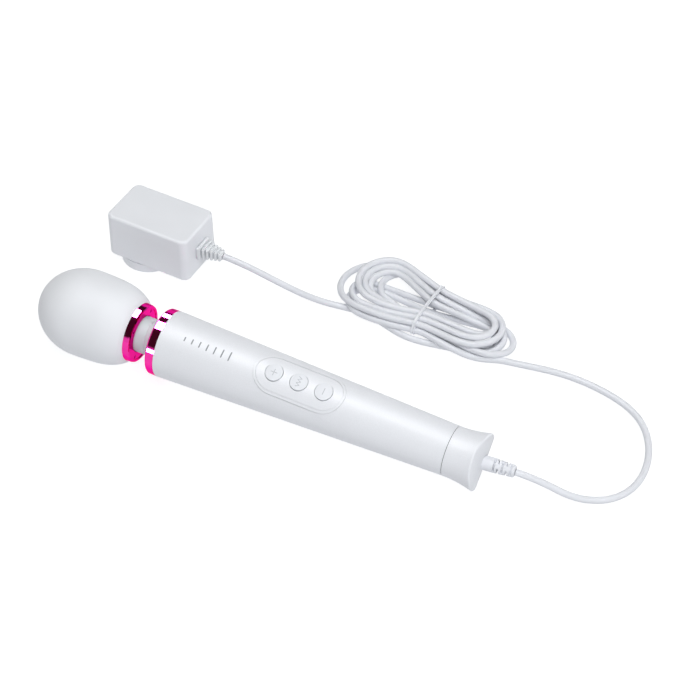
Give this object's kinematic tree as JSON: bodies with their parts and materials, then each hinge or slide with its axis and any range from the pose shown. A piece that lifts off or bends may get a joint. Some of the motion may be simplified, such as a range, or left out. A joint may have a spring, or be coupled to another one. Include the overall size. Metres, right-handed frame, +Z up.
{
  "type": "handheld wand massager",
  "caption": "Cylindrical handle with a round soft head on a flexing neck, a panel of keys and a mains lead to a wall adapter with folding blades.",
  "frame": {"origin": "on the floor under the middle of the wand as it lies on its head and its flared tail", "axes": "+X along the wand from head to tail, +Z up, the adapter and the hank of cord lie towards +Y"},
  "size_m": [0.4184, 0.1935, 0.0601],
  "materials": {
    "silicone": "soft matte silicone",
    "pink_metal": "bright metallised",
    "pearl": "glossy pearl",
    "panel": "satin gloss",
    "key": "fine satin",
    "neck_rubber": "matte",
    "dark_rubber": "matte",
    "inner_plastic": "moulded",
    "black_plastic": "moulded",
    "steel": "machined",
    "screw_steel": "zinc plated",
    "bronze": "sintered",
    "copper": "enamelled",
    "board": "solder mask",
    "ferrite": "matte",
    "aluminium": "anodised",
    "nickel": "nickel plated",
    "cord": "satin jacket",
    "adapter": "fine matte",
    "glass": "clear"
  },
  "bodies": {
    "handle": {"neck_socket_handle": "black_plastic", "collar_ring": "pink_metal", "handle_tube": "pearl", "panel_bezel": "panel", "button_panel": "panel", "keypad_membrane": "silicone", "tact_switches": "black_plastic", "switch_board": "board", "chassis_lower": "inner_plastic", "chassis_upper": "inner_plastic", "chassis_screws": "screw_steel", "main_board": "board", "board_chips": "black_plastic", "board_capacitors": "aluminium", "tail_cap": "pearl", "tail_gasket": "dark_rubber", "tail_boot": "cord", "cord_clamp": "black_plastic", "cord_clamp_screws": "screw_steel", "inner_lead": "cord", "terminal_block": "black_plastic", "cord_tail_side": "cord", "cord_adapter_side": "cord", "cord_hank": "cord", "hank_tie": "cord", "adapter_case": "adapter", "adapter_base": "adapter", "plug_puck": "adapter", "blade_hinge_pin": "steel", "adapter_boot": "cord", "adapter_board": "board", "transformer_core": "ferrite", "transformer_winding": "copper", "bulk_capacitors": "black_plastic", "heat_sink": "aluminium", "adapter_fuse": "glass"},
    "neck": {"neck_sleeve": "neck_rubber", "neck_core": "dark_rubber", "neck_mid_ring": "black_plastic", "motor_leads": "copper"},
    "head": {"head_cover": "silicone", "head_shell_front": "inner_plastic", "head_shell_rear": "inner_plastic", "head_ring": "pink_metal", "head_ring_screws": "pink_metal", "neck_socket_head": "black_plastic", "motor_can": "steel", "motor_end_bell": "black_plastic", "motor_magnets": "ferrite", "shaft_bearings": "bronze", "damping_sleeve": "dark_rubber"},
    "rotor": {"rotor_shaft": "steel", "rotor_core": "copper", "eccentric_weight": "steel", "weight_set_screw": "steel"},
    "key_plus": {"button_plus": "key"},
    "key_mode": {"button_mode": "key"},
    "key_minus": {"button_minus": "key"},
    "blades": {"blade_carrier": "black_plastic", "plug_blades": "nickel"}
  },
  "joints": [
    {"name": "neck_pitch", "type": "hinge", "parent": "handle", "child": "neck", "pos_m": [-0.07849, 0, 0.02818], "axis": [0, 1, 0], "range_deg": [-12, 12], "stiffness_Nm_per_rad": 9, "deforming": ["neck_sleeve", "neck_core", "motor_leads"]},
    {"name": "neck_yaw", "type": "hinge", "parent": "neck", "child": "head", "pos_m": [-0.07849, 0, 0.02818], "axis": [0.0382, 0, 0.9993], "range_deg": [-12, 12], "stiffness_Nm_per_rad": 9},
    {"name": "rotor_spin", "type": "hinge", "parent": "head", "child": "rotor", "pos_m": [-0.12865, 0, 0.0301], "axis": [0.9993, 0, -0.0382], "continuous": true},
    {"name": "press_plus", "type": "slide", "parent": "handle", "child": "key_plus", "axis": [-0.0357, 0.3551, -0.9341], "range_m": [0, 0.0005], "stiffness_N_per_m": 1500},
    {"name": "press_mode", "type": "slide", "parent": "handle", "child": "key_mode", "axis": [-0.0357, 0.3551, -0.9341], "range_m": [0, 0.0005], "stiffness_N_per_m": 1500},
    {"name": "press_minus", "type": "slide", "parent": "handle", "child": "key_minus", "axis": [-0.0357, 0.3551, -0.9341], "range_m": [0, 0.0005], "stiffness_N_per_m": 1500},
    {"name": "blade_fold", "type": "hinge", "parent": "handle", "child": "blades", "pos_m": [-0.14687, 0.09874, 0.0041], "axis": [0.0558, 0.9984, 0], "range_deg": [0, 90]}
  ]
}
